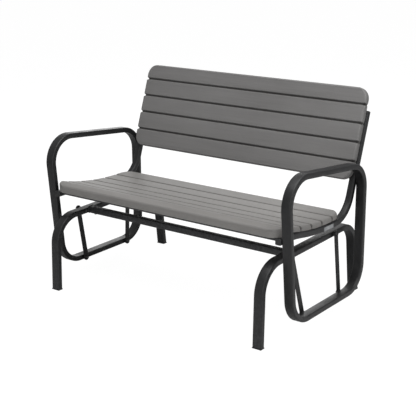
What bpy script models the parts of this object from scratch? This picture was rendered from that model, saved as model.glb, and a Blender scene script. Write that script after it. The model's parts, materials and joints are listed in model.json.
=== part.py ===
"""Glider bench: a fixed steel base, four swinging hangers and a gliding seat.

Metres, +Z up. X runs across the seat, -Y is the front, and the floor is z = 0.
A left part has x below zero. Every moving piece hangs from an empty on its pivot.
"""

import math

import bmesh
import bpy
from mathutils import Matrix, Vector

# ---------------------------------------------------------------- driving sizes
GAP = 0.0003                     # air left between pieces that touch
HALF_WIDTH = 0.635               # outer face of a side loop

# side loops: one closed ring of flat tube is leg, armrest and bottom rail
LOOP_WIDTH = 0.041               # along X
LOOP_DEPTH = 0.0235              # in the plane of the ring
LOOP_BEND = 0.108                # centreline radius of the four bends
LOOP_CORNERS = [                 # (y, z) where the straight centrelines meet
    (-0.2690, 0.0720),
    (0.2580, 0.0620),
    (0.2752, 0.5922),
    (-0.3040, 0.6670),
]

# base frames: an inverted U of flat tube on each side
BASE_X = 0.5400                  # middle of the tube
BASE_WIDTH = 0.0415
BASE_DEPTH = 0.024
BASE_CORNERS = [                 # (y, z, centreline radius of the bend there)
    (-0.3845, 0.0040, 0.0),
    (-0.3640, 0.3185, 0.116),
    (0.3230, 0.3145, 0.098),
    (0.3490, 0.0040, 0.0),
]
CAP_HEIGHT = 0.0040              # the plastic foot under each tube end
CAP_OVERHANG = 0.0012

# side rails: bent tubes under the seat that run up behind the back
RAIL_X = 0.5802
RAIL_WIDTH = 0.027
RAIL_DEPTH = 0.025
RAIL_CORNERS = [                 # (y, z, centreline radius of the bend there)
    (-0.3020, 0.4165, 0.0),
    (-0.2050, 0.4130, 0.500),
    (-0.0850, 0.3900, 1.000),
    (0.0500, 0.3765, 0.400),
    (0.2052, 0.3765, 0.130),
    (0.2850, 0.5840, 0.400),
    (0.3640, 0.7900, 0.0),
]

# hangers
HANGER_WIDTH = 0.024
HANGER_THICK = 0.005
HANGER_EYE = 0.0150              # radius round each pivot
HANGER_X_TOP = 0.5715
HANGER_X_FOOT = 0.5860
HANGER_BORE = 0.0052
SLACK_BORE = 0.0066              # rear lower eyes: the seat's tilt is taken up here
PIVOTS = {                       # (y, z) of the upper and the lower pivot
    "front": ((-0.1910, 0.3190), (-0.1425, 0.0691)),
    "rear": ((0.1450, 0.3170), (0.1440, 0.0635)),
}
BOLT_RADIUS = 0.0050
HEAD_RADIUS = 0.0085
HEAD_HEIGHT = 0.0052
STUD_DEPTH = 0.0180              # how far a stud reaches into the side loop
BUSH_RADIUS = 0.0105

# panels
SEAT_HALF_WIDTH = 0.588
SEAT_FRONT = -0.3145
SEAT_REAR = 0.1625
SEAT_THICK = 0.0213
SEAT_LIP = 0.4300                # underside of the front lip
SEAT_GROOVES = [-0.2350, -0.1555, -0.0760, 0.0035, 0.0830]
SEAT_CORNER = 0.058
BACK_HALF_WIDTH = 0.587
BACK_TOP = (0.3632, 0.8916)      # (y, z) of the front face's upper edge
BACK_FOOT = (0.2228, 0.5300)
BACK_THICK = 0.024
BACK_GROOVES = [0.178, 0.382, 0.586, 0.795]
BACK_CORNER = 0.050
EDGE_ROUND = 0.0085
GROOVE_HALF = 0.0060
GROOVE_DEPTH = 0.0065

# crossbars
CROSS_SIZE = 0.0280
BASE_CROSS = {"front": (-0.1650, 0.3195), "rear": (0.2150, 0.3190)}
CROSS_BOLT_X = 0.4900
SEAT_CROSS_DEPTH = 0.0200
SEAT_CROSS = {                   # (y, z, height) of each tube
    "front": (-0.2805, 0.4211, 0.0170),
    "rear": (0.1350, 0.3812, 0.0200),
}

# fixings between side rail and loop
FIXINGS = {"front": (-0.2882, 0.4160), "rear": (0.2655, 0.5300)}

SIDES = {"left": -1.0, "right": 1.0}


# ---------------------------------------------------------------- scene helpers
def clear_scene():
    """Remove whatever the file holds."""
    for item in list(bpy.data.objects):
        bpy.data.objects.remove(item, do_unlink=True)


def make_material(name, colour, roughness, metallic):
    """One Principled material."""
    material = bpy.data.materials.new(name)
    material.use_nodes = True
    shader = material.node_tree.nodes["Principled BSDF"]
    shader.inputs["Base Color"].default_value = (*colour, 1.0)
    shader.inputs["Roughness"].default_value = roughness
    shader.inputs["Metallic"].default_value = metallic
    material.diffuse_color = (*colour, 1.0)
    return material


def make_empty(name, location, parent=None):
    """An empty that marks a pivot; its children turn about it."""
    empty = bpy.data.objects.new(name, None)
    empty.empty_display_size = 0.04
    bpy.context.scene.collection.objects.link(empty)
    empty.parent = parent
    base = parent.matrix_world.translation if parent else Vector((0.0, 0.0, 0.0))
    empty.location = Vector(location) - base
    bpy.context.view_layer.update()
    return empty


def finish_object(name, mesh_data, material, parent, smooth_angle=40.0):
    """Turn a bmesh in world coordinates into a named object under its pivot."""
    bmesh.ops.recalc_face_normals(mesh_data, faces=mesh_data.faces)
    origin = parent.matrix_world.translation if parent else Vector((0.0, 0.0, 0.0))
    bmesh.ops.translate(mesh_data, verts=mesh_data.verts, vec=-origin)
    limit = math.radians(smooth_angle)
    for face in mesh_data.faces:
        face.smooth = True
    for edge in mesh_data.edges:
        if len(edge.link_faces) == 2:
            edge.smooth = edge.calc_face_angle(0.0) < limit
    mesh = bpy.data.meshes.new(name)
    mesh_data.to_mesh(mesh)
    mesh_data.free()
    mesh.materials.append(material)
    body = bpy.data.objects.new(name, mesh)
    bpy.context.scene.collection.objects.link(body)
    body.parent = parent
    return body


# ---------------------------------------------------------------- shape helpers
def rounded_section(width, depth, radius, steps=3):
    """Points round a rectangle with rounded corners, centred on zero."""
    points = []
    for index, (sx, sy) in enumerate([(1, 1), (-1, 1), (-1, -1), (1, -1)]):
        cx = sx * (width / 2.0 - radius)
        cy = sy * (depth / 2.0 - radius)
        for step in range(steps + 1):
            angle = math.pi / 2.0 * (index + step / steps)
            points.append((cx + radius * math.cos(angle), cy + radius * math.sin(angle)))
    return points


def bend_path(corners, closed, arc_step):
    """Replace each corner (y, z, radius) by an arc tangent to both straights."""
    count = len(corners)
    path = []
    for index, (y, z, radius) in enumerate(corners):
        here = Vector((y, z))
        if radius <= 0.0 or (not closed and index in (0, count - 1)):
            path.append(here)
            continue
        before = Vector(corners[index - 1][:2]) - here
        after = Vector(corners[(index + 1) % count][:2]) - here
        before.normalize()
        after.normalize()
        half = before.angle(after) / 2.0
        reach = radius / math.tan(half)
        centre = here + (before + after).normalized() * (radius / math.sin(half))
        start = here + before * reach - centre
        sweep = math.pi - 2.0 * half
        if before.x * after.y - before.y * after.x > 0.0:
            sweep = -sweep
        steps = max(2, int(math.ceil(abs(sweep) / arc_step)))
        for step in range(steps + 1):
            turn = Matrix.Rotation(sweep * step / steps, 2)
            path.append(centre + turn @ start)
    return path


def path_frames(path, closed):
    """A point, its unit normal and the mitre stretch for each path point."""
    count = len(path)
    frames = []
    for index, point in enumerate(path):
        if closed:
            a = (point - path[index - 1]).normalized()
            b = (path[(index + 1) % count] - point).normalized()
        else:
            a = (point - path[max(index - 1, 0)])
            b = (path[min(index + 1, count - 1)] - point)
            if a.length < 1e-9:
                a = b
            if b.length < 1e-9:
                b = a
            a = a.normalized()
            b = b.normalized()
        tangent = (a + b).normalized()
        stretch = 1.0 / max(tangent.dot(a), 0.5)
        frames.append((point, Vector((-tangent.y, tangent.x)), stretch))
    return frames


def sweep(corners, section, x_centre, closed=False, arc_step=math.radians(11.0)):
    """Run a section, (x, in-plane) points, along a bent path in a YZ plane."""
    path = bend_path(corners, closed, arc_step)
    work = bmesh.new()
    rings = []
    for point, normal, stretch in path_frames(path, closed):
        ring = []
        for sx, sn in section:
            place = point + normal * (sn * stretch)
            ring.append(work.verts.new((x_centre + sx, place.x, place.y)))
        rings.append(ring)
    pairs = list(zip(rings, rings[1:]))
    if closed:
        pairs.append((rings[-1], rings[0]))
    size = len(section)
    for near, far in pairs:
        for index in range(size):
            nxt = (index + 1) % size
            work.faces.new((near[index], near[nxt], far[nxt], far[index]))
    if not closed:
        work.faces.new(rings[0])
        work.faces.new(list(reversed(rings[-1])))
    return work


def turned(profile, y, z, side, steps=24):
    """Turn a (distance along +X from the middle, radius) profile about an X axis."""
    work = bmesh.new()
    rings = []
    for along, radius in profile:
        if radius <= 0.0:
            rings.append([work.verts.new((side * along, y, z))])
            continue
        ring = []
        for step in range(steps):
            angle = 2.0 * math.pi * step / steps
            place = (side * along, y + radius * math.cos(angle), z + radius * math.sin(angle))
            ring.append(work.verts.new(place))
        rings.append(ring)
    loops = list(zip(rings, rings[1:]))
    if len(rings[0]) > 1:
        loops.append((rings[-1], rings[0]))
    for near, far in loops:
        for index in range(steps):
            nxt = (index + 1) % steps
            if len(near) == 1:
                work.faces.new((near[0], far[index], far[nxt]))
            elif len(far) == 1:
                work.faces.new((near[index], near[nxt], far[0]))
            else:
                work.faces.new((near[index], near[nxt], far[nxt], far[index]))
    return work


def box(low, high, bevel=0.0, segments=2):
    """A box between two corners with rounded edges."""
    work = bmesh.new()
    bmesh.ops.create_cube(work, size=1.0)
    for vert in work.verts:
        for axis in range(3):
            middle = (low[axis] + high[axis]) / 2.0
            vert.co[axis] = middle + vert.co[axis] * (high[axis] - low[axis])
    if bevel > 0.0:
        bmesh.ops.bevel(work, geom=work.edges[:], offset=bevel, segments=segments,
                        profile=0.5, affect="EDGES", clamp_overlap=True)
    return work


def subtract(body, cutter):
    """Take one object out of another and remove the cutter."""
    cutter.hide_render = True
    cutter.display_type = "WIRE"
    bpy.context.view_layer.update()
    modifier = body.modifiers.new("cut", "BOOLEAN")
    modifier.operation = "DIFFERENCE"
    modifier.solver = "EXACT"
    modifier.object = cutter
    bpy.context.view_layer.objects.active = body
    bpy.ops.object.modifier_apply(modifier=modifier.name)
    bpy.data.objects.remove(cutter, do_unlink=True)


def cut_holes(body, holes):
    """Cut round holes: each is a centre, an axis letter, a radius and a half length."""
    for number, (centre, axis, radius, half) in enumerate(holes):
        work = bmesh.new()
        bmesh.ops.create_cone(work, cap_ends=True, segments=24, radius1=radius,
                              radius2=radius, depth=2.0 * half)
        if axis == "X":
            bmesh.ops.rotate(work, verts=work.verts, cent=(0, 0, 0),
                             matrix=Matrix.Rotation(math.pi / 2.0, 3, "Y"))
        bmesh.ops.translate(work, verts=work.verts, vec=Vector(centre))
        mesh = bpy.data.meshes.new(body.name + "_cutter_%d" % number)
        work.to_mesh(mesh)
        work.free()
        cutter = bpy.data.objects.new(mesh.name, mesh)
        bpy.context.scene.collection.objects.link(cutter)
        subtract(body, cutter)
    return body


# ---------------------------------------------------------------- base
def base_frame(name, side, material, parent):
    """Inverted U of flat tube, drilled for two hanger bolts."""
    section = rounded_section(BASE_WIDTH, BASE_DEPTH, 0.0045)
    work = sweep(BASE_CORNERS, section, side * BASE_X)
    for vert in work.verts:
        vert.co.z = max(vert.co.z, CAP_HEIGHT)
    body = finish_object(name, work, material, parent)
    holes = []
    for (y, z), _ in PIVOTS.values():
        holes.append(((side * BASE_X, y, z), "X", BOLT_RADIUS + GAP, 0.03))
    return cut_holes(body, holes)


def foot_cap(name, side, y, material, parent):
    """Plastic cap under one end of a base frame."""
    half_x = BASE_WIDTH / 2.0 + CAP_OVERHANG
    half_y = BASE_DEPTH / 2.0 + CAP_OVERHANG
    low = (side * BASE_X - half_x, y - half_y, 0.0)
    high = (side * BASE_X + half_x, y + half_y, CAP_HEIGHT - GAP)
    return finish_object(name, box(low, high, 0.0012), material, parent)


def base_crossbar(name, where, material, parent):
    """Square tube between the base frames, drilled for its two vertical bolts."""
    y, z = where
    half = CROSS_SIZE / 2.0
    reach = BASE_X - BASE_WIDTH / 2.0 - GAP
    work = box((-reach, y - half, z - half), (reach, y + half, z + half), 0.003)
    body = finish_object(name, work, material, parent)
    holes = []
    for side in SIDES.values():
        holes.append(((side * CROSS_BOLT_X, y, z), "Z", 0.0034, 0.03))
    return cut_holes(body, holes)


def upright_bolt(name, side, where, material, parent):
    """Vertical bolt through a base crossbar: domed head above, nut below."""
    y, z = where
    half = CROSS_SIZE / 2.0 + GAP
    profile = [
        (-half - 0.0060, 0.0),
        (-half - 0.0060, 0.0055),
        (-half - 0.0052, 0.0066),
        (-half, 0.0066),
        (-half, 0.0030),
        (half, 0.0030),
        (half, 0.0068),
        (half + 0.0014, 0.0062),
        (half + 0.0026, 0.0036),
        (half + 0.0030, 0.0),
    ]
    work = turned(profile, 0.0, 0.0, 1.0, 20)
    bmesh.ops.rotate(work, verts=work.verts, cent=(0, 0, 0),
                     matrix=Matrix.Rotation(-math.pi / 2.0, 3, "Y"))
    bmesh.ops.translate(work, verts=work.verts, vec=(side * CROSS_BOLT_X, y, z))
    return finish_object(name, work, material, parent)


# ---------------------------------------------------------------- hangers
def hanger_arm(name, side, upper, lower, foot_bore, material, parent):
    """Flat bar with a round eye at each end, leaning outwards towards the foot."""
    top = Vector(upper)
    foot = Vector(lower)
    down = (foot - top).normalized()
    across = Vector((-down.y, down.x))
    length = (foot - top).length
    half = HANGER_WIDTH / 2.0
    outline = []
    arc = math.asin(half / HANGER_EYE)
    steps = 14
    for step in range(steps + 1):
        angle = arc + (2.0 * math.pi - 2.0 * arc) * step / steps
        outline.append((HANGER_EYE * math.cos(angle), HANGER_EYE * math.sin(angle)))
    stations = [0.25, 0.50, 0.75]
    right_edge = [(length * share, -half) for share in stations]
    left_edge = [(length * share, half) for share in reversed(stations)]
    far_eye = []
    for step in range(steps + 1):
        angle = -math.pi + arc + (2.0 * math.pi - 2.0 * arc) * step / steps
        far_eye.append((length + HANGER_EYE * math.cos(angle), HANGER_EYE * math.sin(angle)))
    # near eye runs from +half round the top to -half, then down one edge and back
    border = outline + right_edge + far_eye + left_edge

    def offset(along):
        """Distance of the bar's middle from the centre plane at a station."""
        share = (along - HANGER_EYE) / (length - 2.0 * HANGER_EYE)
        return HANGER_X_TOP + (HANGER_X_FOOT - HANGER_X_TOP) * min(max(share, 0.0), 1.0)

    work = bmesh.new()
    layers = []
    for shift in (-HANGER_THICK / 2.0, HANGER_THICK / 2.0):
        layer = []
        for along, out in border:
            place = top + down * along + across * out
            layer.append(work.verts.new((side * (offset(along) + shift), place.x, place.y)))
        layers.append(layer)
    count = len(border)
    for index in range(count):
        nxt = (index + 1) % count
        work.faces.new((layers[0][index], layers[0][nxt], layers[1][nxt], layers[1][index]))
    near = steps + 1
    mid = len(stations)
    right_start = near
    far_start = near + mid
    left_start = far_start + near
    for layer in layers:
        work.faces.new(layer[0:near])
        ladder_right = [layer[near - 1]] + layer[right_start:far_start] + [layer[far_start]]
        ladder_left = [layer[0]] + list(reversed(layer[left_start:])) + [layer[left_start - 1]]
        for index in range(len(ladder_right) - 1):
            work.faces.new((ladder_right[index], ladder_right[index + 1],
                            ladder_left[index + 1], ladder_left[index]))
        work.faces.new(layer[far_start:left_start])
    body = finish_object(name, work, material, parent)
    world = parent.matrix_world.translation
    holes = [
        (Vector((side * HANGER_X_TOP, *upper)) - world, "X", HANGER_BORE, 0.012),
        (Vector((side * HANGER_X_FOOT, *lower)) - world, "X", foot_bore, 0.012),
    ]
    parent_place = body.parent
    body.parent = None
    bpy.context.view_layer.update()
    cut_holes(body, holes)
    body.parent = parent_place
    return body


def pivot_bolt(name, side, pivot, inner, outer, head, nut, material, parent):
    """Bolt along X, with an optional domed head outside and nut inside."""
    y, z = pivot
    profile = [(inner, 0.0)]
    if nut:
        profile = [
            (inner - 0.0060, 0.0),
            (inner - 0.0060, 0.0074),
            (inner - 0.0050, HEAD_RADIUS),
            (inner, HEAD_RADIUS),
        ]
    profile += [(inner, BOLT_RADIUS), (outer, BOLT_RADIUS)]
    if head:
        profile += [
            (outer, HEAD_RADIUS),
            (outer + HEAD_HEIGHT * 0.45, HEAD_RADIUS * 0.93),
            (outer + HEAD_HEIGHT * 0.85, HEAD_RADIUS * 0.55),
            (outer + HEAD_HEIGHT, 0.0),
        ]
    else:
        profile += [(outer, 0.0)]
    return finish_object(name, turned(profile, y, z, side), material, parent)


def bushing(name, side, pivot, inner, outer, bore, material, parent):
    """Ring on a bolt that keeps two pieces apart."""
    y, z = pivot
    profile = [
        (inner + 0.0005, BUSH_RADIUS),
        (outer - 0.0005, BUSH_RADIUS),
        (outer, BUSH_RADIUS - 0.0005),
        (outer, bore),
        (inner, bore),
        (inner, BUSH_RADIUS - 0.0005),
    ]
    return finish_object(name, turned(profile, y, z, side), material, parent)


# ---------------------------------------------------------------- carriage
def side_loop(name, side, material, parent):
    """Closed ring of flat tube, with blind holes for its fixings and studs."""
    corners = [(y, z, LOOP_BEND) for y, z in LOOP_CORNERS]
    section = rounded_section(LOOP_WIDTH, LOOP_DEPTH, 0.0045)
    middle = side * (HALF_WIDTH - LOOP_WIDTH / 2.0)
    work = sweep(corners, section, middle, closed=True)
    body = finish_object(name, work, material, None)
    face = side * (HALF_WIDTH - LOOP_WIDTH)
    places = list(FIXINGS.values()) + [lower for _, lower in PIVOTS.values()]
    holes = []
    for y, z in places:
        holes.append(((face, y, z), "X", BOLT_RADIUS + GAP, STUD_DEPTH + GAP))
    cut_holes(body, holes)
    return hang(body, parent)


def hang(body, parent):
    """Put a body modelled in world coordinates under a pivot empty."""
    body.data.transform(Matrix.Translation(-parent.matrix_world.translation))
    body.parent = parent
    return body


def side_rail(name, side, material, parent):
    """Bent tube under the seat and up behind the back."""
    section = rounded_section(RAIL_WIDTH, RAIL_DEPTH, 0.0045)
    work = sweep(RAIL_CORNERS, section, side * RAIL_X, arc_step=math.radians(8.0))
    body = finish_object(name, work, material, None)
    holes = []
    for y, z in FIXINGS.values():
        holes.append(((side * RAIL_X, y, z), "X", BOLT_RADIUS + GAP, 0.02))
    cut_holes(body, holes)
    return hang(body, parent)


def rail_cap(name, side, at_top, material, parent):
    """Plastic plug over one open end of a side rail."""
    if at_top:
        end, before = RAIL_CORNERS[-1], RAIL_CORNERS[-2]
    else:
        end, before = RAIL_CORNERS[0], RAIL_CORNERS[1]
    out = Vector((end[0] - before[0], end[1] - before[1])).normalized()
    start = Vector(end[:2]) + out * GAP
    stop = start + out * 0.0035
    section = rounded_section(RAIL_WIDTH, RAIL_DEPTH, 0.0045)
    work = sweep([(*start, 0.0), (*stop, 0.0)], section, side * RAIL_X)
    return finish_object(name, work, material, parent)


def seat_crossbar(name, where, material, parent):
    """Tube between the side rails, under the seat panel."""
    y, z, height = where
    half_y = SEAT_CROSS_DEPTH / 2.0
    half_z = height / 2.0
    reach = RAIL_X - RAIL_WIDTH / 2.0 - GAP
    work = box((-reach, y - half_y, z - half_z), (reach, y + half_y, z + half_z), 0.0025)
    return finish_object(name, work, material, parent)


def groove_depth(distance):
    """How far the surface drops at a distance from the middle of a groove."""
    share = abs(distance) / GROOVE_HALF
    if share >= 1.0:
        return 0.0
    return GROOVE_DEPTH * (1.0 - share ** 1.4)


def panel_stations(length, grooves, spacing):
    """Places along a panel: groove edges, groove floors and a few between."""
    marks = {0.0, length}
    for middle in grooves:
        for share in (-1.0, -0.5, 0.0, 0.5, 1.0):
            marks.add(middle + share * GROOVE_HALF)
    for share in (0.12, 0.45, 1.0):
        marks.add(EDGE_ROUND * share)
        marks.add(length - EDGE_ROUND * share)
    ordered = sorted(marks)
    filled = []
    for a, b in zip(ordered, ordered[1:]):
        pieces = max(1, int(round((b - a) / spacing)))
        filled += [a + (b - a) * step / pieces for step in range(pieces)]
    return filled + [length]


def build_panel(length, half_width, corner, grooves, thickness_at, place, spacing):
    """A closed board: stations run along it, columns run across it.

    thickness_at gives the depth below the top surface, and place turns
    (across, along, depth) into a world position.
    """
    work = bmesh.new()
    edge_shares = [0.0, 0.12, 0.45, 1.0]

    def inset_at(along):
        """How far the side edge is drawn in near the rounded plan corners."""
        near = min(along, length - along)
        if near >= corner:
            return 0.0
        return corner - math.sqrt(max(corner ** 2 - (corner - near) ** 2, 0.0))

    def crown(distance):
        """Drop of the surface near a rounded edge."""
        if distance >= EDGE_ROUND:
            return 0.0
        return EDGE_ROUND - math.sqrt(EDGE_ROUND ** 2 - (EDGE_ROUND - distance) ** 2)

    top_rows = []
    low_rows = []
    for along in panel_stations(length, grooves, spacing):
        reach = half_width - inset_at(along)
        drop = sum(groove_depth(along - middle) for middle in grooves)
        ends = crown(min(along, length - along))
        depth = thickness_at(along)
        columns = [-reach + EDGE_ROUND * share for share in edge_shares]
        columns += [0.0]
        columns += [reach - EDGE_ROUND * share for share in reversed(edge_shares)]
        top_row = []
        low_row = []
        for across in columns:
            side_drop = crown(reach - abs(across))
            fall = min(max(drop, ends, side_drop) if not (ends and side_drop)
                       else EDGE_ROUND - math.sqrt(max(
                           EDGE_ROUND ** 2 - min(EDGE_ROUND, math.hypot(
                               EDGE_ROUND - min(along, length - along, EDGE_ROUND),
                               EDGE_ROUND - min(reach - abs(across), EDGE_ROUND))) ** 2, 0.0)),
                       depth * 0.55)
            top_row.append(work.verts.new(place(across, along, fall)))
            low_row.append(work.verts.new(place(across, along, depth)))
        top_rows.append(top_row)
        low_rows.append(low_row)
    width = len(top_rows[0])
    for rows, flip in ((top_rows, False), (low_rows, True)):
        for near, far in zip(rows, rows[1:]):
            for index in range(width - 1):
                quad = (near[index], near[index + 1], far[index + 1], far[index])
                work.faces.new(tuple(reversed(quad)) if flip else quad)
    for upper, under in ((top_rows[0], low_rows[0]), (top_rows[-1], low_rows[-1])):
        for index in range(width - 1):
            work.faces.new((upper[index], under[index], under[index + 1], upper[index + 1]))
    for column in (0, -1):
        for index in range(len(top_rows) - 1):
            work.faces.new((top_rows[index][column], top_rows[index + 1][column],
                            low_rows[index + 1][column], low_rows[index][column]))
    bmesh.ops.remove_doubles(work, verts=work.verts, dist=0.00002)
    return work


def seat_height(y):
    """Height of the seat's top surface: dished, highest at the front lip."""
    crest = -0.272
    dish = 0.4130 + 0.395 * (max(y, crest) - 0.100) ** 2
    if y < crest:
        dish -= 2.6 * (crest - y) ** 2
    return dish


def relieve_over_rails(body):
    """Cut the room for both side rails out of the seat's underside."""
    section = rounded_section(RAIL_WIDTH + 2.0 * GAP, RAIL_DEPTH + 2.0 * GAP, 0.0045)
    for word, side in SIDES.items():
        work = sweep(RAIL_CORNERS, section, side * RAIL_X, arc_step=math.radians(8.0))
        bmesh.ops.recalc_face_normals(work, faces=work.faces)
        mesh = bpy.data.meshes.new("relief_cutter_" + word)
        work.to_mesh(mesh)
        work.free()
        cutter = bpy.data.objects.new(mesh.name, mesh)
        bpy.context.scene.collection.objects.link(cutter)
        subtract(body, cutter)
    return body


def seat_panel(name, material, parent):
    """Contoured seat with grooves across it and a deeper front lip."""
    length = SEAT_REAR - SEAT_FRONT

    def thickness_at(along):
        """Even thickness behind, and a flat underside below the raised front."""
        return max(SEAT_THICK, seat_height(SEAT_FRONT + along) - SEAT_LIP)

    def place(across, along, depth):
        y = SEAT_FRONT + along
        return (across, y, seat_height(y) - depth)

    grooves = [y - SEAT_FRONT for y in SEAT_GROOVES]
    work = build_panel(length, SEAT_HALF_WIDTH, SEAT_CORNER, grooves,
                       thickness_at, place, 0.014)
    body = finish_object(name, work, material, None, 32.0)
    return hang(relieve_over_rails(body), parent)


def backrest_panel(name, material, parent):
    """Flat reclined back with grooves across it."""
    top = Vector(BACK_TOP)
    foot = Vector(BACK_FOOT)
    up = (top - foot).normalized()
    away = Vector((up.y, -up.x))
    length = (top - foot).length

    def place(across, along, depth):
        point = foot + up * along + away * depth
        return (across, point.x, point.y)

    grooves = [length * (1.0 - share) for share in BACK_GROOVES]
    work = build_panel(length, BACK_HALF_WIDTH, BACK_CORNER, grooves,
                       lambda along: BACK_THICK, place, 0.030)
    return finish_object(name, work, material, parent, 32.0)


# ---------------------------------------------------------------- assembly
def build_base(materials, root):
    """Everything that stands still."""
    for word, side in SIDES.items():
        base_frame("base_frame_" + word, side, materials["base_steel"], root)
        for end, (y, _, _) in (("front", BASE_CORNERS[0]), ("rear", BASE_CORNERS[-1])):
            foot_cap("foot_cap_%s_%s" % (end, word), side, y, materials["cap_plastic"], root)
        for end, (upper, _) in PIVOTS.items():
            inner = BASE_X - BASE_WIDTH / 2.0 - GAP
            outer = HANGER_X_TOP + HANGER_THICK / 2.0 + GAP
            pivot_bolt("upper_bolt_%s_%s" % (end, word), side, upper, inner, outer,
                       True, True, materials["bolt_steel"], root)
            bushing("upper_bushing_%s_%s" % (end, word), side, upper,
                    BASE_X + BASE_WIDTH / 2.0 + GAP,
                    HANGER_X_TOP - HANGER_THICK / 2.0 - GAP,
                    BOLT_RADIUS + GAP, materials["bushing_nylon"], root)
    for end, where in BASE_CROSS.items():
        base_crossbar("base_crossbar_" + end, where, materials["base_steel"], root)
        for word, side in SIDES.items():
            upright_bolt("crossbar_bolt_%s_%s" % (end, word), side, where,
                         materials["bolt_steel"], root)


def build_hangers(materials, root):
    """Four flat bars, each on its own pivot."""
    for end, (upper, lower) in PIVOTS.items():
        for word, side in SIDES.items():
            pivot = make_empty("hanger_pivot_%s_%s" % (end, word),
                               (side * HANGER_X_TOP, *upper), root)
            bore = SLACK_BORE if end == "rear" else HANGER_BORE
            hanger_arm("hanger_%s_%s" % (end, word), side, upper, lower, bore,
                       materials["hanger_steel"], pivot)


def build_carriage(materials, root):
    """Everything that glides, on an empty at the front lower pivots."""
    pivot = make_empty("carriage_pivot", (0.0, *PIVOTS["front"][1]), root)
    stud_end = HALF_WIDTH - LOOP_WIDTH + STUD_DEPTH
    for word, side in SIDES.items():
        side_loop("side_loop_" + word, side, materials["loop_steel"], pivot)
        side_rail("side_rail_" + word, side, materials["loop_steel"], pivot)
        rail_cap("rail_cap_top_" + word, side, True, materials["cap_plastic"], pivot)
        rail_cap("rail_cap_front_" + word, side, False, materials["cap_plastic"], pivot)
        for end, where in FIXINGS.items():
            through = end == "rear"
            inner = RAIL_X - RAIL_WIDTH / 2.0 + (-GAP if through else GAP)
            pivot_bolt("loop_bolt_%s_%s" % (end, word), side, where, inner, stud_end,
                       False, through, materials["bolt_steel"], pivot)
        for end, (_, lower) in PIVOTS.items():
            inner = HANGER_X_FOOT - HANGER_THICK / 2.0 - GAP
            pivot_bolt("lower_bolt_%s_%s" % (end, word), side, lower, inner, stud_end,
                       False, True, materials["bolt_steel"], pivot)
            bushing("lower_bushing_%s_%s" % (end, word), side, lower,
                    HANGER_X_FOOT + HANGER_THICK / 2.0 + GAP,
                    HALF_WIDTH - LOOP_WIDTH - GAP,
                    BOLT_RADIUS + GAP, materials["bushing_nylon"], pivot)
    for end, where in SEAT_CROSS.items():
        seat_crossbar("seat_crossbar_" + end, where, materials["loop_steel"], pivot)
    seat_panel("seat_panel", materials["seat_plastic"], pivot)
    backrest_panel("backrest_panel", materials["back_plastic"], pivot)


def main():
    """Build the whole bench."""
    clear_scene()
    materials = {
        "base_steel": make_material("base_steel", (0.016, 0.017, 0.019), 0.42, 0.25),
        "loop_steel": make_material("loop_steel", (0.018, 0.019, 0.021), 0.38, 0.25),
        "hanger_steel": make_material("hanger_steel", (0.020, 0.021, 0.023), 0.40, 0.25),
        "bolt_steel": make_material("bolt_steel", (0.030, 0.031, 0.033), 0.35, 0.70),
        "cap_plastic": make_material("cap_plastic", (0.012, 0.012, 0.013), 0.55, 0.0),
        "bushing_nylon": make_material("bushing_nylon", (0.025, 0.025, 0.026), 0.50, 0.0),
        "seat_plastic": make_material("seat_plastic", (0.34, 0.33, 0.32), 0.55, 0.0),
        "back_plastic": make_material("back_plastic", (0.26, 0.255, 0.25), 0.55, 0.0),
    }
    root = make_empty("glider_base", (0.0, 0.0, 0.0))
    build_base(materials, root)
    build_hangers(materials, root)
    build_carriage(materials, root)


if __name__ == "__main__":
    main()
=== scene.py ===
"""Looks of a glider bench: steel loops, moulded seat and back, swinging hangers.

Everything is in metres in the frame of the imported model. X runs across the seat,
-Y is the front and the floor is z = 0. The frame says where each piece goes.
"""

import json
import logging
import math
from dataclasses import dataclass, field
from enum import Enum
from typing import Callable, Iterable

import bmesh
import bpy
from mathutils import Matrix, Vector


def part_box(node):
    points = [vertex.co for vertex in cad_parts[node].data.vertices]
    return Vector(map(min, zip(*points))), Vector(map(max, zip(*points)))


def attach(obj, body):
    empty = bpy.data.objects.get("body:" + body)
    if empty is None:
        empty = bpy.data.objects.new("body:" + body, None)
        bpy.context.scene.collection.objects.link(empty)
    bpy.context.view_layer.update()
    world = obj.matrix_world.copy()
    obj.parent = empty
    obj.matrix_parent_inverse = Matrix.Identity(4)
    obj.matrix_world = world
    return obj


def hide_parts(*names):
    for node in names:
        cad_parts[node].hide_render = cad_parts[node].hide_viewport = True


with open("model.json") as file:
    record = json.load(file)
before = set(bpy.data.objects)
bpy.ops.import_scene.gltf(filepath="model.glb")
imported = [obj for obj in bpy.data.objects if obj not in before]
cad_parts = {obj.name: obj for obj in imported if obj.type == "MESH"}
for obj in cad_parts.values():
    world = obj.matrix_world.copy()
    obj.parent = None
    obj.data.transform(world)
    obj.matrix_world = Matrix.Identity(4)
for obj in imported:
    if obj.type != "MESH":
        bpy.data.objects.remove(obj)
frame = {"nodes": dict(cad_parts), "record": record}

LOG = logging.getLogger("glider_bench")
HAIR = 0.0003                    # air between pieces that touch
# The boards' material turns this depth mark into painted shade down the grooves.
GROOVE_MARK = "groove_depth"     # share of the full depth, kept on each vertex

Ring = list[tuple[float, float]]
Spot = tuple[float, float, float]


class Side(Enum):
    """The two sides of the bench, as seen by someone facing it."""

    LEFT = "left"
    RIGHT = "right"

    @property
    def sign(self) -> float:
        """-1 on the left and +1 on the right."""
        return -1.0 if self is Side.LEFT else 1.0


class End(Enum):
    """Front and rear of one side."""

    FRONT = "front"
    REAR = "rear"


class Body(Enum):
    """The rigid groups that pieces ride on, hangers apart."""

    BASE = "base"
    CARRIAGE = "carriage"


# ------------------------------------------------------------------ places
def centre_of(node: str) -> Vector:
    """Middle of a CAD node's box.

    Args:
        node: name of the node.

    Returns:
        The middle point in the row frame.
    """
    low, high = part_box(node)
    return (low + high) / 2.0


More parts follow.
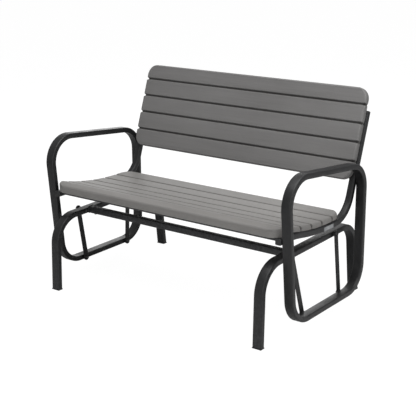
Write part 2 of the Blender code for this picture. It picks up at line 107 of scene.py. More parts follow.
def joint_place(name: str) -> Vector:
    """Point on a joint's axis, as the record gives it.

    Args:
        name: name of the joint.

    Returns:
        The point in the row frame.
    """
    for joint in frame["record"]["behaviour"]["joints"]:
        if joint["name"] == name:
            return Vector(joint["pos_m"])
    raise ValueError("no joint is called " + name)


# ------------------------------------------------------------------ effects
class Effects:
    """Node groups that several finishes share, each built once."""

    def __init__(self) -> None:
        """Build every group."""
        self.grain = self._grain()
        self.peel = self._peel()
        self.wear = self._wear()
        self.dust = self._dust()
        self.hollow = self._hollow()

    @staticmethod
    def _shell(name: str, inputs: dict[str, float],
               outputs: Iterable[str]) -> tuple[bpy.types.NodeTree, bpy.types.Node, bpy.types.Node]:
        """Make an empty group with float sockets.

        Args:
            name: the group's name.
            inputs: socket names and their defaults.
            outputs: names of the sockets it puts out.

        Returns:
            The tree, its input node and its output node.
        """
        tree = bpy.data.node_groups.new(name, "ShaderNodeTree")
        for label, value in inputs.items():
            socket = tree.interface.new_socket(label, in_out="INPUT",
                                               socket_type="NodeSocketFloat")
            socket.default_value = value
        for label in outputs:
            tree.interface.new_socket(label, in_out="OUTPUT", socket_type="NodeSocketFloat")
        return tree, tree.nodes.new("NodeGroupInput"), tree.nodes.new("NodeGroupOutput")

    @staticmethod
    def math(tree: bpy.types.NodeTree, operation: str, first: object,
             second: object = None, clamp: bool = False) -> bpy.types.NodeSocket:
        """Add a Math node; numbers and sockets both work as operands."""
        node = tree.nodes.new("ShaderNodeMath")
        node.operation = operation
        node.use_clamp = clamp
        for index, value in enumerate((first, second)):
            if value is None:
                continue
            if isinstance(value, (int, float)):
                node.inputs[index].default_value = value
            else:
                tree.links.new(value, node.inputs[index])
        return node.outputs[0]

    @staticmethod
    def spread(tree: bpy.types.NodeTree, value: bpy.types.NodeSocket,
               low: float, high: float) -> bpy.types.NodeSocket:
        """Stretch a value so that low becomes 0 and high becomes 1."""
        node = tree.nodes.new("ShaderNodeMapRange")
        node.inputs["From Min"].default_value = low
        node.inputs["From Max"].default_value = high
        tree.links.new(value, node.inputs["Value"])
        return node.outputs["Result"]

    @staticmethod
    def noise(tree: bpy.types.NodeTree, scale: object, detail: float, rough: float,
              stretch: tuple[float, float, float] = (1.0, 1.0, 1.0)) -> bpy.types.NodeSocket:
        """Noise over the piece's own coordinates.

        Args:
            tree: where the nodes go.
            scale: a number or a socket.
            detail: number of octaves.
            rough: strength of the finer octaves.
            stretch: how much each axis is squeezed first.

        Returns:
            The noise value.
        """
        place = tree.nodes.new("ShaderNodeTexCoord")
        mapping = tree.nodes.new("ShaderNodeMapping")
        mapping.inputs["Scale"].default_value = stretch
        tree.links.new(place.outputs["Object"], mapping.inputs["Vector"])
        node = tree.nodes.new("ShaderNodeTexNoise")
        node.inputs["Detail"].default_value = detail
        node.inputs["Roughness"].default_value = rough
        tree.links.new(mapping.outputs["Vector"], node.inputs["Vector"])
        if isinstance(scale, (int, float)):
            node.inputs["Scale"].default_value = scale
        else:
            tree.links.new(scale, node.inputs["Scale"])
        return node.outputs["Fac"]

    def _grain(self) -> bpy.types.NodeTree:
        """Pressed wood grain that runs along X, as a streak mask and a height."""
        tree, feed, out = self._shell(
            "pressed_wood_grain", {"Scale": 60.0, "Waver": 0.35}, ("Streak", "Height", "Cloud"))
        long_streak = self.noise(tree, feed.outputs["Scale"], 5.0, 0.62, (0.035, 1.0, 1.0))
        fine_streak = self.noise(tree, 420.0, 3.0, 0.55, (0.022, 1.0, 1.0))
        cloud = self.noise(tree, 3.2, 3.0, 0.5, (0.5, 1.0, 1.0))
        waver = self.math(tree, "MULTIPLY", cloud, feed.outputs["Waver"])
        body = self.math(tree, "ADD", long_streak, waver)
        streak = self.spread(tree, body, 0.44, 0.88)
        fine = self.spread(tree, fine_streak, 0.30, 0.72)
        both = self.math(tree, "MULTIPLY", fine, 0.45)
        mixed = self.math(tree, "MULTIPLY_ADD", streak, 0.55)
        tree.links.new(both, mixed.node.inputs[2])
        tree.links.new(mixed, out.inputs["Streak"])
        tree.links.new(mixed, out.inputs["Height"])
        tree.links.new(self.spread(tree, cloud, 0.32, 0.70), out.inputs["Cloud"])
        return tree

    def _peel(self) -> bpy.types.NodeTree:
        """Orange peel of a sprayed or moulded skin: a height and a slow patchiness."""
        tree, feed, out = self._shell("orange_peel", {"Scale": 700.0}, ("Height", "Patch"))
        bumps = self.noise(tree, feed.outputs["Scale"], 2.0, 0.5)
        tree.links.new(self.spread(tree, bumps, 0.25, 0.75), out.inputs["Height"])
        patch = self.noise(tree, 14.0, 4.0, 0.55)
        tree.links.new(self.spread(tree, patch, 0.30, 0.70), out.inputs["Patch"])
        return tree

    def _wear(self) -> bpy.types.NodeTree:
        """Rubbed edges: bright where the surface turns sharply outwards."""
        tree, feed, out = self._shell("rubbed_edges", {"Amount": 1.0}, ("Mask",))
        shape = tree.nodes.new("ShaderNodeNewGeometry")
        edge = self.spread(tree, shape.outputs["Pointiness"], 0.505, 0.60)
        broken = self.spread(tree, self.noise(tree, 90.0, 5.0, 0.65), 0.40, 0.66)
        mask = self.math(tree, "MULTIPLY", edge, broken)
        tree.links.new(self.math(tree, "MULTIPLY", mask, feed.outputs["Amount"], True),
                       out.inputs["Mask"])
        return tree

    def _hollow(self) -> bpy.types.NodeTree:
        """Painted shade in grooves: strong where the surface turns inwards."""
        tree, feed, out = self._shell("painted_groove_shade", {"Amount": 1.0}, ("Mask",))
        shape = tree.nodes.new("ShaderNodeNewGeometry")
        # painted shade: concave places get dark, standing in for the shade that falls in them
        deep = self.spread(tree, shape.outputs["Pointiness"], 0.498, 0.455)
        tree.links.new(self.math(tree, "MULTIPLY", deep, feed.outputs["Amount"], True),
                       out.inputs["Mask"])
        return tree

    def _dust(self) -> bpy.types.NodeTree:
        """Thin dust that settles on what faces up."""
        tree, feed, out = self._shell("settled_dust", {"Amount": 1.0}, ("Mask",))
        shape = tree.nodes.new("ShaderNodeNewGeometry")
        split = tree.nodes.new("ShaderNodeSeparateXYZ")
        tree.links.new(shape.outputs["Normal"], split.inputs["Vector"])
        upward = self.spread(tree, split.outputs["Z"], 0.55, 1.0)
        patch = self.spread(tree, self.noise(tree, 22.0, 6.0, 0.62), 0.34, 0.72)
        mask = self.math(tree, "MULTIPLY", upward, patch)
        tree.links.new(self.math(tree, "MULTIPLY", mask, feed.outputs["Amount"], True),
                       out.inputs["Mask"])
        return tree


# ------------------------------------------------------------------ finishes
Colour = tuple[float, float, float]


@dataclass
class Paintbox:
    """Builds materials out of the shared effects."""

    effects: Effects

    def start(self, name: str) -> tuple[bpy.types.Material, bpy.types.Node]:
        """A new material with its Principled shader.

        Args:
            name: the material's name.

        Returns:
            The material and the shader node.
        """
        material = bpy.data.materials.new(name)
        material.use_nodes = True
        return material, material.node_tree.nodes["Principled BSDF"]

    def use(self, material: bpy.types.Material, group: bpy.types.NodeTree,
            **values: float) -> bpy.types.Node:
        """Place a group in a material and set its inputs."""
        node = material.node_tree.nodes.new("ShaderNodeGroup")
        node.node_tree = group
        for label, value in values.items():
            node.inputs[label].default_value = value
        return node

    def blend(self, material: bpy.types.Material, mask: bpy.types.NodeSocket,
              low: object, high: Colour, share: float = 1.0) -> bpy.types.NodeSocket:
        """Mix two colours by a mask.

        Args:
            material: where the nodes go.
            mask: 0 gives low and 1 gives high.
            low: a colour or a colour socket.
            high: a colour.
            share: how much of the mask counts.

        Returns:
            The mixed colour.
        """
        tree = material.node_tree
        scaled = Effects.math(tree, "MULTIPLY", mask, share, True)
        node = tree.nodes.new("ShaderNodeMix")
        node.data_type = "RGBA"
        colours = [socket for socket in node.inputs if socket.type == "RGBA"]
        tree.links.new(scaled, node.inputs[0])
        if isinstance(low, tuple):
            colours[0].default_value = (*low, 1.0)
        else:
            tree.links.new(low, colours[0])
        colours[1].default_value = (*high, 1.0)
        return [socket for socket in node.outputs if socket.type == "RGBA"][0]

    def roughen(self, material: bpy.types.Material, mask: bpy.types.NodeSocket,
                low: float, high: float) -> bpy.types.NodeSocket:
        """Turn a mask into a roughness between two values."""
        tree = material.node_tree
        node = Effects.math(tree, "MULTIPLY_ADD", mask, high - low)
        node.node.inputs[2].default_value = low
        return node

    def coat(self, made: bpy.types.Material, tone: bpy.types.NodeSocket,
             peel: bpy.types.Node, rough: tuple[float, float],
             relief: tuple[float, float] | None = None) -> None:
        """Wire the colour, the roughness and the fine relief of a finish.

        Args:
            made: the material.
            tone: its colour.
            peel: the orange peel it uses.
            rough: roughness where the peel's patches are low and high.
            relief: height and strength of the peel's bumps, if it has them.
        """
        links = made.node_tree.links
        shader = made.node_tree.nodes["Principled BSDF"]
        links.new(tone, shader.inputs["Base Color"])
        links.new(self.roughen(made, peel.outputs["Patch"], *rough), shader.inputs["Roughness"])
        if relief:
            bump = self.bump(made, peel.outputs["Height"], *relief)
            links.new(bump.outputs["Normal"], shader.inputs["Normal"])

    def bump(self, material: bpy.types.Material, height: bpy.types.NodeSocket,
             distance: float, strength: float) -> bpy.types.Node:
        """A Bump node for a height."""
        node = material.node_tree.nodes.new("ShaderNodeBump")
        node.inputs["Distance"].default_value = distance
        node.inputs["Strength"].default_value = strength
        material.node_tree.links.new(height, node.inputs["Height"])
        return node


@dataclass(frozen=True)
class PowderCoat:
    """Satin powder coat on steel: near black, with fine orange peel."""

    name: str
    colour: Colour = (0.0060, 0.0061, 0.0067)
    patch_colour: Colour = (0.0085, 0.0087, 0.0095)
    rubbed_colour: Colour = (0.0750, 0.0770, 0.0820)
    dust_colour: Colour = (0.1100, 0.1120, 0.1160)
    rough: tuple[float, float] = (0.34, 0.46)
    peel_scale: float = 620.0
    rubbed_share: float = 0.55
    dust_share: float = 0.09

    def material(self, box: Paintbox) -> bpy.types.Material:
        """Build the material.

        Args:
            box: the paintbox with the shared effects.

        Returns:
            The finished material.
        """
        made, shader = box.start(self.name)
        peel = box.use(made, box.effects.peel, Scale=self.peel_scale)
        wear = box.use(made, box.effects.wear, Amount=0.8)
        dust = box.use(made, box.effects.dust, Amount=1.0)
        tone = box.blend(made, peel.outputs["Patch"], self.colour, self.patch_colour)
        tone = box.blend(made, wear.outputs["Mask"], tone, self.rubbed_colour, self.rubbed_share)
        tone = box.blend(made, dust.outputs["Mask"], tone, self.dust_colour, self.dust_share)
        box.coat(made, tone, peel, self.rough, (0.00022, 0.35))
        shader.inputs["Specular IOR Level"].default_value = 0.42
        return made


@dataclass(frozen=True)
class MouldedBoards:
    """Moulded plastic pressed with a wood grain that runs across the bench."""

    name: str
    colour: Colour
    dark_colour: Colour
    pale_colour: Colour
    # painted shade: the dark colour laid into grooves and hollows where shade falls
    groove_shade_colour: Colour = (0.040, 0.038, 0.036)
    groove_shade_share: float = 0.90
    cloud_share: float = 0.32
    rubbed_share: float = 0.50
    dust_share: float = 0.20
    hollow_shade_share: float = 0.60
    grain_scale: float = 58.0
    rough: tuple[float, float] = (0.50, 0.66)

    def material(self, box: Paintbox) -> bpy.types.Material:
        """Build the material.

        Args:
            box: the paintbox with the shared effects.

        Returns:
            The finished material.
        """
        made, shader = box.start(self.name)
        links = made.node_tree.links
        grain = box.use(made, box.effects.grain, Scale=self.grain_scale, Waver=0.35)
        peel = box.use(made, box.effects.peel, Scale=1500.0)
        wear = box.use(made, box.effects.wear, Amount=0.7)
        dust = box.use(made, box.effects.dust, Amount=1.0)
        hollow_shade = box.use(made, box.effects.hollow, Amount=1.0)
        deep = made.node_tree.nodes.new("ShaderNodeAttribute")
        deep.attribute_name = GROOVE_MARK
        tone = box.blend(made, grain.outputs["Streak"], self.dark_colour, self.colour)
        tone = box.blend(made, grain.outputs["Cloud"], tone, self.pale_colour,
                         self.cloud_share)
        tone = box.blend(made, wear.outputs["Mask"], tone, self.pale_colour, self.rubbed_share)
        tone = box.blend(made, dust.outputs["Mask"], tone, self.pale_colour, self.dust_share)
        # painted shade where the surface turns inwards
        tone = box.blend(made, hollow_shade.outputs["Mask"], tone, self.groove_shade_colour, self.hollow_shade_share)
        # painted shade down the grooves, from the depth kept on each vertex
        tone = box.blend(made, deep.outputs["Fac"], tone, self.groove_shade_colour, self.groove_shade_share)
        links.new(tone, shader.inputs["Base Color"])
        links.new(box.roughen(made, grain.outputs["Streak"], *self.rough),
                  shader.inputs["Roughness"])
        fine = box.bump(made, peel.outputs["Height"], 0.00012, 0.30)
        coarse = box.bump(made, grain.outputs["Height"], 0.00050, 0.50)
        links.new(fine.outputs["Normal"], coarse.inputs["Normal"])
        links.new(coarse.outputs["Normal"], shader.inputs["Normal"])
        return made


@dataclass(frozen=True)
class RubbedFinish:
    """A fine finish that shows a second colour where its edges are rubbed."""

    name: str
    colour: Colour
    rubbed_colour: Colour
    rough: tuple[float, float]
    peel_scale: float
    relief: tuple[float, float]
    rubbed_share: float = 1.0
    metallic: float = 0.0

    def material(self, box: Paintbox) -> bpy.types.Material:
        """Build the material.

        Args:
            box: the paintbox with the shared effects.

        Returns:
            The finished material.
        """
        made, shader = box.start(self.name)
        peel = box.use(made, box.effects.peel, Scale=self.peel_scale)
        wear = box.use(made, box.effects.wear, Amount=1.0)
        tone = box.blend(made, wear.outputs["Mask"], self.colour, self.rubbed_colour,
                         self.rubbed_share)
        box.coat(made, tone, peel, self.rough, self.relief)
        shader.inputs["Metallic"].default_value = self.metallic
        return made


def blackened_steel() -> RubbedFinish:
    """Blackened steel of the fasteners."""
    return RubbedFinish("blackened_steel", (0.020, 0.020, 0.022), (0.210, 0.210, 0.215),
                        (0.28, 0.44), 1100.0, (0.00010, 0.30), 0.8, 0.65)


def black_plastic(name: str, colour: Colour) -> RubbedFinish:
    """Matte moulded plastic of the caps and bushings."""
    return RubbedFinish(name, colour, (0.045, 0.045, 0.047), (0.50, 0.68), 900.0,
                        (0.00015, 0.40))


@dataclass(frozen=True)
class SatinPlate:
    """Brushed silver foil of the blank plate."""

    name: str = "satin_plate"
    colour: Colour = (0.42, 0.43, 0.44)
    dull_colour: Colour = (0.26, 0.27, 0.28)

    def material(self, box: Paintbox) -> bpy.types.Material:
        """Build the material.

        Args:
            box: the paintbox with the shared effects.

        Returns:
            The finished material.
        """
        made, shader = box.start(self.name)
        peel = box.use(made, box.effects.peel, Scale=1800.0)
        tone = box.blend(made, peel.outputs["Patch"], self.colour, self.dull_colour)
        box.coat(made, tone, peel, (0.35, 0.55))
        shader.inputs["Metallic"].default_value = 0.5
        return made


@dataclass
class Finishes:
    """Every material of the bench, built once."""

    box: Paintbox
    loop_steel: bpy.types.Material = field(init=False)
    base_steel: bpy.types.Material = field(init=False)
    hanger_steel: bpy.types.Material = field(init=False)
    bolt_steel: bpy.types.Material = field(init=False)
    plastic: bpy.types.Material = field(init=False)
    nylon: bpy.types.Material = field(init=False)
    seat: bpy.types.Material = field(init=False)
    back: bpy.types.Material = field(init=False)
    plate: bpy.types.Material = field(init=False)

    def __post_init__(self) -> None:
        """Build the materials from their finishes."""
        self.loop_steel = PowderCoat("loop_powder_coat").material(self.box)
        self.base_steel = PowderCoat("base_powder_coat", rough=(0.38, 0.50)).material(self.box)
        self.hanger_steel = PowderCoat("hanger_powder_coat", peel_scale=820.0,
                                       rough=(0.40, 0.52)).material(self.box)
        self.bolt_steel = blackened_steel().material(self.box)
        self.plastic = black_plastic("black_plastic", (0.0125, 0.0125, 0.0132)).material(self.box)
        self.nylon = black_plastic("black_nylon", (0.022, 0.022, 0.023)).material(self.box)
        self.seat = MouldedBoards("seat_boards", (0.224, 0.217, 0.208), (0.170, 0.163, 0.156),
                                  (0.290, 0.282, 0.272), groove_shade_share=0.80).material(self.box)
        # The back boards are the seat's plastic in a darker tone: painted shade for the upright back,
        # which gets less light.
        self.back = MouldedBoards("back_boards", (0.179, 0.175, 0.173), (0.130, 0.127, 0.125),
                                  (0.230, 0.226, 0.223), groove_shade_share=0.72).material(self.box)
        self.plate = SatinPlate().material(self.box)


# ------------------------------------------------------------------ mesh tools
def dress(name: str, work: bmesh.types.BMesh, material: bpy.types.Material,
          sharp: float = 38.0) -> bpy.types.Object:
    """Turn a bmesh into an object with a material and smooth faces.

    Args:
        name: the object's name.
        work: its mesh in the row frame; it is freed.
        material: its finish.
        sharp: edges that turn more than this many degrees stay crisp.

    Returns:
        The new object.
    """
    bmesh.ops.recalc_face_normals(work, faces=work.faces)
    limit = math.radians(sharp)
    for face in work.faces:
        face.smooth = True
    for edge in work.edges:
        if len(edge.link_faces) == 2:
            edge.smooth = edge.calc_face_angle(0.0) < limit
    mesh = bpy.data.meshes.new(name)
    work.to_mesh(mesh)
    work.free()
    mesh.materials.append(material)
    made = bpy.data.objects.new(name, mesh)
    bpy.context.scene.collection.objects.link(made)
    return made


def place(made: bpy.types.Object, body: str, slot: str, *nodes: str) -> bpy.types.Object:
    """Say what a piece rides on and the CAD nodes that it stands for.

    Args:
        made: the piece.
        body: name of the body.
        slot: name of the material slot; not used.
        nodes: CAD nodes that it replaces.

    Returns:
        The same piece.
    """
    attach(made, body)
    if nodes:
        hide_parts(*nodes)
    LOG.info("%s rides on %s", made.name, body)
    return made


def rounded_ring(width: float, depth: float, radius: float, steps: int = 5) -> Ring:
    """Points round a rectangle with rounded corners.

    Args:
        width: size along the first axis.
        depth: size along the second axis.
        radius: of the corners.
        steps: segments for each corner.

    Returns:
        The ring of points.
    """
    points: Ring = []
    for index, (sx, sy) in enumerate([(1, 1), (-1, 1), (-1, -1), (1, -1)]):
        for step in range(steps + 1):
            angle = math.pi / 2.0 * (index + step / steps)
            points.append((sx * (width / 2.0 - radius) + radius * math.cos(angle),
                           sy * (depth / 2.0 - radius) + radius * math.sin(angle)))
    return points


def bend_path(corners: list[tuple[float, float, float]], closed: bool,
              arc_step: float = math.radians(4.0)) -> list[Vector]:
    """Round the corners of a path of (y, z, radius) points with tangent arcs.

    Args:
        corners: the points where the straights meet, with the bend's radius.
        closed: whether the last corner joins the first.
        arc_step: angle between points on an arc.

    Returns:
        The points of the path.
    """
    count = len(corners)
    path: list[Vector] = []
    for index, (y, z, radius) in enumerate(corners):
        here = Vector((y, z))
        if radius <= 0.0 or (not closed and index in (0, count - 1)):
            path.append(here)
            continue
        before = (Vector(corners[index - 1][:2]) - here).normalized()
        after = (Vector(corners[(index + 1) % count][:2]) - here).normalized()
        half = before.angle(after) / 2.0
        centre = here + (before + after).normalized() * (radius / math.sin(half))
        start = here + before * (radius / math.tan(half)) - centre
        swept = math.pi - 2.0 * half
        if before.x * after.y - before.y * after.x > 0.0:
            swept = -swept
        steps = max(3, int(math.ceil(abs(swept) / arc_step)))
        for step in range(steps + 1):
            path.append(centre + Matrix.Rotation(swept * step / steps, 2) @ start)
    return path


def stitch(work: bmesh.types.BMesh, rings: list[list[bmesh.types.BMVert]],
           closed: bool = False, capped: bool = False) -> None:
    """Fill the faces between closed rings of vertices.

    Args:
        work: the mesh.
        rings: the rings, all with the same number of vertices.
        closed: whether the last ring joins the first.
        capped: whether the first and last rings are filled.
    """
    pairs = list(zip(rings, rings[1:]))
    if closed:
        pairs.append((rings[-1], rings[0]))
    count = len(rings[0])
    for near, far in pairs:
        for index in range(count):
            after = (index + 1) % count
            work.faces.new((near[index], near[after], far[after], far[index]))
    if capped:
        work.faces.new(rings[0])
        work.faces.new(list(reversed(rings[-1])))


def sweep(path: list[Vector], ring: Ring, x: float, closed: bool = False,
          scale: Callable[[int], float] = lambda _: 1.0) -> bmesh.types.BMesh:
    """Run a ring along a path that lies in a plane of constant x.

    Args:
        path: (y, z) points.
        ring: (x, normal) points of the section.
        x: where the plane is.
        closed: whether the path joins up.
        scale: size of the section at each point.

    Returns:
        A closed mesh.
    """
    work = bmesh.new()
    count = len(path)
    rings = []
    for index, point in enumerate(path):
        if closed:
            ahead = (path[(index + 1) % count] - point).normalized()
            behind = (point - path[index - 1]).normalized()
        else:
            ahead = (path[min(index + 1, count - 1)] - point)
            behind = (point - path[max(index - 1, 0)])
            ahead = (ahead if ahead.length > 1e-9 else behind).normalized()
            behind = (behind if behind.length > 1e-9 else ahead).normalized()
        tangent = (ahead + behind).normalized()
        stretch = 1.0 / max(tangent.dot(ahead), 0.5)
        normal = Vector((-tangent.y, tangent.x))
        size = scale(index)
        rings.append([work.verts.new((x + a * size, *(point + normal * b * size * stretch)))
                      for a, b in ring])
    stitch(work, rings, closed, not closed)
    return work


def turned(profile: Ring, steps: int = 32) -> bmesh.types.BMesh:
    """Turn (x, radius) points about the X axis.

    Args:
        profile: the outline, with radius 0 where it meets the axis.
        steps: segments round the axis.

    Returns:
        A closed mesh.
    """
    work = bmesh.new()
    rings = []
    for along, radius in profile:
        if radius <= 0.0:
            rings.append([work.verts.new((along, 0.0, 0.0))])
            continue
        rings.append([work.verts.new((along, radius * math.cos(2.0 * math.pi * step / steps),
                                      radius * math.sin(2.0 * math.pi * step / steps)))
                      for step in range(steps)])
    pairs = list(zip(rings, rings[1:]))
    if len(rings[0]) > 1:
        pairs.append((rings[-1], rings[0]))
    for near, far in pairs:
        for index in range(steps):
            after = (index + 1) % steps
            if len(near) == 1:
                work.faces.new((near[0], far[index], far[after]))
            elif len(far) == 1:
                work.faces.new((near[index], near[after], far[0]))
            else:
                work.faces.new((near[index], near[after], far[after], far[index]))
    return work


def dome(start: float, radius: float, height: float) -> bmesh.types.BMesh:
    """A domed bolt head about the X axis.

    Args:
        start: x of its flat side.
        radius: of the flat side.
        height: of the dome, towards +x.

    Returns:
        The mesh.
    """
    angles = [math.pi / 2.0 * step / 8.0 for step in range(1, 8)]
    return turned([(start, 0.0), (start, radius),
                   *[(start + height * math.sin(angle), radius * math.cos(angle))
                     for angle in angles],
                   (start + height, 0.0)])


def join_in(work: bmesh.types.BMesh, extra: bmesh.types.BMesh, turn: Matrix) -> None:
    """Add a moved copy of one mesh to another and free the first.

    Args:
        work: the mesh that grows.
        extra: the mesh to add; it is freed.
        turn: where it goes.
    """
    bmesh.ops.transform(extra, matrix=turn, verts=extra.verts)
    spare = bpy.data.meshes.new("spare")
    extra.to_mesh(spare)
    extra.free()
    work.from_mesh(spare)
    bpy.data.meshes.remove(spare)


def soft_box(low: Vector, high: Vector, bevel: float, segments: int = 3) -> bmesh.types.BMesh:
    """A box between two corners with rounded edges.

    Args:
        low: lowest corner.
        high: highest corner.
        bevel: width of the rounding.
        segments: of the rounding.

    Returns:
        The mesh.
    """
    work = bmesh.new()
    bmesh.ops.create_cube(work, size=1.0)
    size = high - low
    middle = (high + low) / 2.0
    for vert in work.verts:
        vert.co = Vector((middle[axis] + vert.co[axis] * size[axis] for axis in range(3)))
    bmesh.ops.bevel(work, geom=work.edges[:], offset=bevel, segments=segments,
                    profile=0.5, affect="EDGES", clamp_overlap=True)
    return work


# ------------------------------------------------------------------ tubes
@dataclass
class SideLoops:
    """The two closed rings of flat tube that are leg, armrest and bottom rail."""

    finishes: Finishes
    width: float = 0.041
    depth: float = 0.0235
    bend: float = 0.108
    edge: float = 0.0045
    corners: tuple[tuple[float, float], ...] = (
        (-0.2690, 0.0720), (0.2580, 0.0620), (0.2752, 0.5922), (-0.3040, 0.6670))

    def build(self) -> None:
        """Make both loops."""
        path = bend_path([(y, z, self.bend) for y, z in self.corners], True)
        ring = rounded_ring(self.width, self.depth, self.edge)
        for side in Side:
            node = "side_loop_" + side.value
            x = centre_of(node).x
            made = dress("loop_" + side.value, sweep(path, ring, x, True),
                         self.finishes.loop_steel)
            place(made, Body.CARRIAGE.value, "loop_steel", node)


@dataclass
class BaseFrames:
    """The two inverted U frames that stand on the floor, with their foot caps."""

    finishes: Finishes
    width: float = 0.0415
    depth: float = 0.024
    edge: float = 0.0045
    corners: tuple[tuple[float, float, float], ...] = (
        (-0.3845, 0.0040, 0.0), (-0.3640, 0.3185, 0.116), (0.3230, 0.3145, 0.098),
        (0.3490, 0.0040, 0.0))

    def build(self) -> None:
        """Make both frames and the four caps."""
        path = bend_path(list(self.corners), False)
        ring = rounded_ring(self.width, self.depth, self.edge)
        for side in Side:
            node = "base_frame_" + side.value
            low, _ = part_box(node)
            work = sweep(path, ring, centre_of(node).x)
            for vert in work.verts:
                vert.co.z = max(vert.co.z, low.z)
            made = dress("stand_" + side.value, work, self.finishes.base_steel)
            place(made, Body.BASE.value, "base_steel", node)
            for end in End:
                self.cap(side, end)

    def cap(self, side: Side, end: End) -> None:
        """Make one foot cap with a rounded tread.

        Args:
            side: which frame.
            end: which leg.
        """
        node = "foot_cap_%s_%s" % (end.value, side.value)
        low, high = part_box(node)
        made = dress("foot_tread_%s_%s" % (end.value, side.value),
                     soft_box(low, high, 0.0016), self.finishes.plastic)
        place(made, Body.BASE.value, "cap_plastic", node)


@dataclass
class SideRails:
    """Bent tubes under the seat that run up behind the back, with end plugs."""

    finishes: Finishes
    width: float = 0.027
    depth: float = 0.025
    edge: float = 0.0045
    corners: tuple[tuple[float, float, float], ...] = (
        (-0.3020, 0.4165, 0.0), (-0.2050, 0.4130, 0.500), (-0.0850, 0.3900, 1.000),
        (0.0500, 0.3765, 0.400), (0.2052, 0.3765, 0.130), (0.2850, 0.5840, 0.400),
        (0.3640, 0.7900, 0.0))
    plate_span: tuple[float, float] = (0.010, 0.082)
    plate_height: float = 0.0165
    plate_thick: float = 0.0002
    plug_thick: float = 0.0035

    def build(self) -> None:
        """Make both rails and their plugs."""
        path = bend_path(list(self.corners), False, math.radians(3.0))
        ring = rounded_ring(self.width, self.depth, self.edge)
        for side in Side:
            node = "side_rail_" + side.value
            x = centre_of(node).x
            made = dress("rail_" + side.value, sweep(path, ring, x), self.finishes.loop_steel)
            place(made, Body.CARRIAGE.value, "loop_steel", node)
            self.plug(side, x, True)
            self.plug(side, x, False)
        self.plate()

    def plate(self) -> None:
        """Make the blank foil plate on the outer face of the right rail."""
        _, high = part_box("side_rail_" + Side.RIGHT.value)
        path = [point for point in bend_path(list(self.corners), False, math.radians(1.0))
                if self.plate_span[0] <= point.x <= self.plate_span[1]]
        path = [Vector((self.plate_span[0], path[0].y)), *path,
                Vector((self.plate_span[1], path[-1].y))]
        ring = [(0.0, -self.plate_height / 2.0), (self.plate_thick, -self.plate_height / 2.0),
                (self.plate_thick, self.plate_height / 2.0), (0.0, self.plate_height / 2.0)]
        made = dress("blank_plate", sweep(path, ring, high.x), self.finishes.plate)
        place(made, Body.CARRIAGE.value, "loop_steel")

    def plug(self, side: Side, x: float, top: bool) -> None:
        """Make the domed plug in one open end.

        Args:
            side: which rail.
            x: the rail's middle.
            top: whether it is the upper end.
        """
        end, before = (self.corners[-1], self.corners[-2]) if top else self.corners[:2]
        out = (Vector(end[:2]) - Vector(before[:2])).normalized()
        rim = Vector(end[:2]) + out * HAIR
        steps = ((0.0, 1.0), (0.55, 1.0), (0.80, 0.955), (1.0, 0.86))
        path = [rim + out * (self.plug_thick * share) for share, _ in steps]
        ring = rounded_ring(self.width, self.depth, self.edge)
        work = sweep(path, ring, x, False, lambda index: steps[index][1])
        word = "top" if top else "front"
        made = dress("rail_plug_%s_%s" % (word, side.value), work, self.finishes.plastic)
        place(made, Body.CARRIAGE.value, "cap_plastic",
              "rail_cap_%s_%s" % (word, side.value))


@dataclass
class Crossbars:
    """Square tubes between the frames and between the rails, with their welds."""

    finishes: Finishes
    bead: float = 0.0030

    def build(self) -> None:
        """Make the four bars."""
        for end in End:
            self.bar("base_crossbar_" + end.value, "stand_bar_" + end.value,
                     Body.BASE, "base_steel", self.finishes.base_steel)
            self.bar("seat_crossbar_" + end.value, "seat_bar_" + end.value,
                     Body.CARRIAGE, "loop_steel", self.finishes.loop_steel)

    def bar(self, node: str, name: str, body: Body, slot: str,
            material: bpy.types.Material) -> None:
        """Make one bar, with a weld bead round each end.

        Args:
            node: the CAD node that it stands for.
            name: the piece's name.
            body: what it rides on.
            slot: its material slot.
            material: its finish.
        """
        low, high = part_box(node)
        middle = (low + high) / 2.0
        ring = rounded_ring(high.y - low.y, high.z - low.z, 0.0035, 4)
        work = bmesh.new()
        rings = [[work.verts.new((x, middle.y + a, middle.z + b)) for a, b in ring]
                 for x in (low.x, high.x)]
        stitch(work, rings, capped=True)
        made = dress(name, work, material)
        place(made, body.value, slot, node)
        for side in Side:
            self.weld(name, side, low, high, body, slot, material)

    def weld(self, name: str, side: Side, low: Vector, high: Vector, body: Body,
             slot: str, material: bpy.types.Material) -> None:
        """Make the rippled weld bead round one end of a bar.

        Args:
            name: the bar's name.
            side: which end.
            low: the bar's lowest corner.
            high: the bar's highest corner.
            body: what it rides on.
            slot: its material slot.
            material: its finish.
        """
        middle = (low + high) / 2.0
        face = high.x if side is Side.RIGHT else low.x
        outline = rounded_ring(high.y - low.y + 0.0006, high.z - low.z + 0.0006, 0.0038, 6)
        dense: Ring = []
        for index, (a, b) in enumerate(outline):
            c, d = outline[(index + 1) % len(outline)]
            pieces = max(1, int(math.hypot(c - a, d - b) / 0.0012))
            dense += [(a + (c - a) * step / pieces, b + (d - b) * step / pieces)
                      for step in range(pieces)]
        root = 0.001                 # how far the bead reaches into the bar
        work = bmesh.new()
        rows = []
        for index, (a, b) in enumerate(dense):
            out = Vector((a, b)).normalized()
            ripple = self.bead * (0.86 + 0.14 * math.sin(index * 1.35))
            row = []
            for step in range(7):
                angle = math.pi / 2.0 * step / 6.0
                x = face - side.sign * ripple * math.cos(angle)
                spread = ripple * math.sin(angle) * 0.75
                row.append(work.verts.new((x, middle.y + a + out.x * spread,
                                           middle.z + b + out.y * spread)))
            for x in (face, face - side.sign * ripple):
                row.append(work.verts.new((x, middle.y + a - out.x * root,
                                           middle.z + b - out.y * root)))
            rows.append(row)
        stitch(work, rows, closed=True)
        made = dress("%s_weld_%s" % (name, side.value), work, material, 60.0)
        place(made, body.value, slot)


